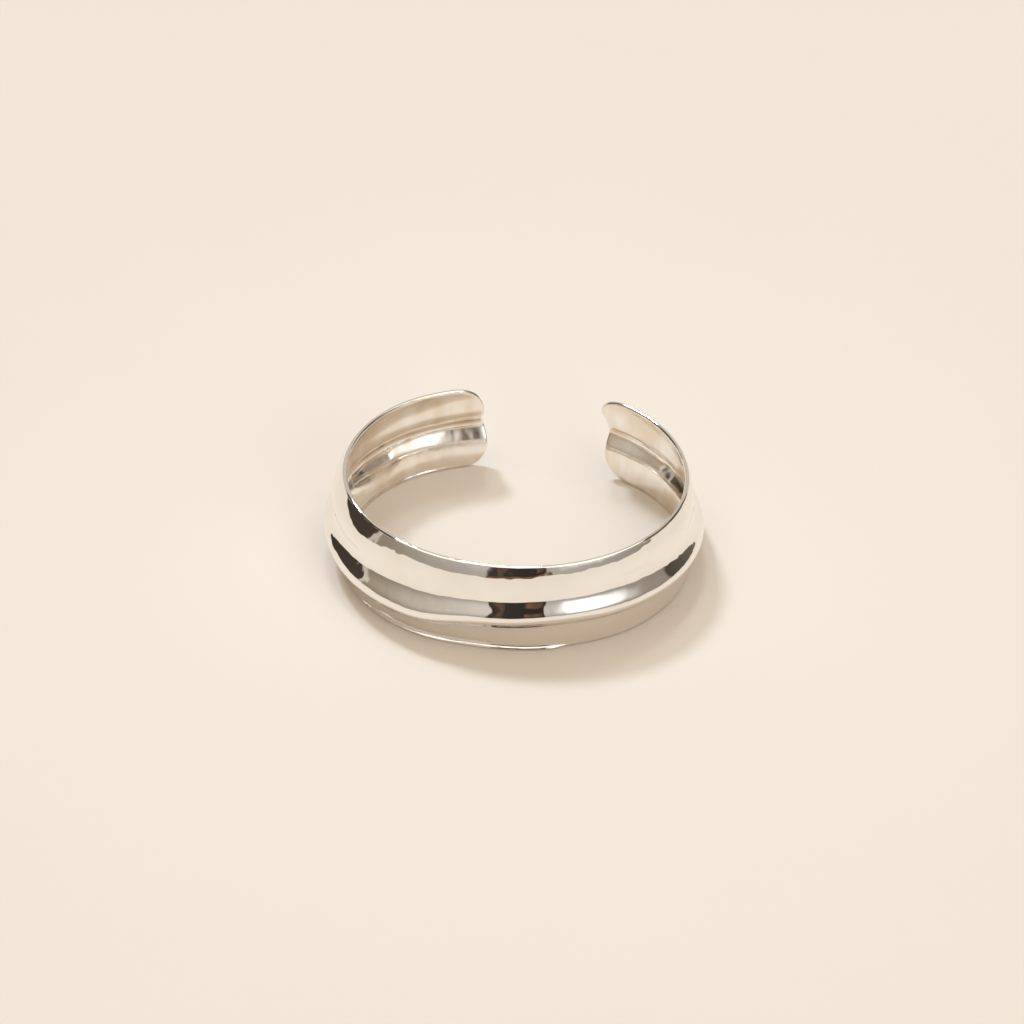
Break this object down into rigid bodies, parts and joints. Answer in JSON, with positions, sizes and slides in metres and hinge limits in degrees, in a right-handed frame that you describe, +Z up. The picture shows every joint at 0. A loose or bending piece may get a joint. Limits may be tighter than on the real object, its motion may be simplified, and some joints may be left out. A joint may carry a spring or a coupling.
{
  "type": "cuff bracelet",
  "caption": "Open oval cuff bracelet of polished silver sheet with two formed ridges, a groove between them, and rounded two-lobed ends.",
  "frame": {"origin": "bottom centre of the bounding box: the cuff stands on its lower edge on z = 0", "axes": "+Z up through the wrist hollow, from the lower edge to the top rim; -Y towards the closed front; +Y towards the opening at the back; +X to the right when the front is faced"},
  "size_m": [0.069, 0.0572, 0.0186],
  "materials": {
    "silver": "polished"
  },
  "bodies": {
    "root": {"cuff": "silver"}
  },
  "joints": []
}
